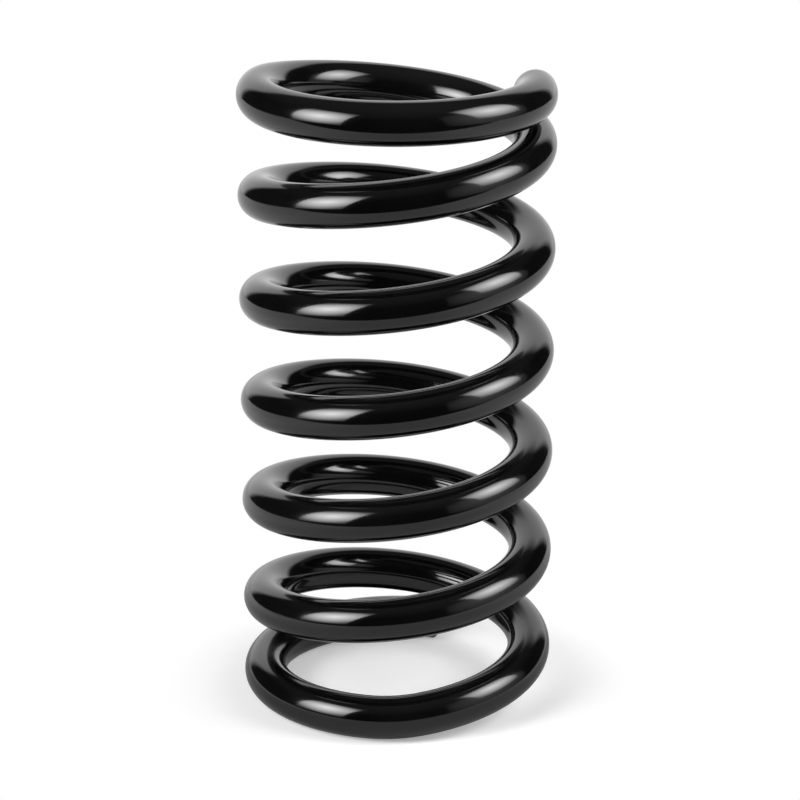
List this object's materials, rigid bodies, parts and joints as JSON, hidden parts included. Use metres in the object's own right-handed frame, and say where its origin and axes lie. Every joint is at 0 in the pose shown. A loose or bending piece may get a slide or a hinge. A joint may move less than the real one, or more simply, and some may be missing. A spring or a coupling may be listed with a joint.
{
  "type": "helical compression spring",
  "caption": "Helical compression spring of round steel wire in gloss black, with level end turns and square-cut wire ends. It sits over a post or damper and pushes two seats apart.",
  "frame": {"origin": "on the coil's axis at the level of the surface that the lower end turn stands on", "axes": "+Z along the coil's axis, from the lower seat to the upper one; the wire climbs counter-clockwise seen from above; the lower wire end is close to +Y, the upper one close to +X"},
  "size_m": [0.0874, 0.0874, 0.18],
  "materials": {
    "black_enamel": "gloss black enamel over spring steel, smooth, also on the cut ends"
  },
  "bodies": {
    "root": {"coil_spring": "black_enamel"}
  },
  "joints": []
}
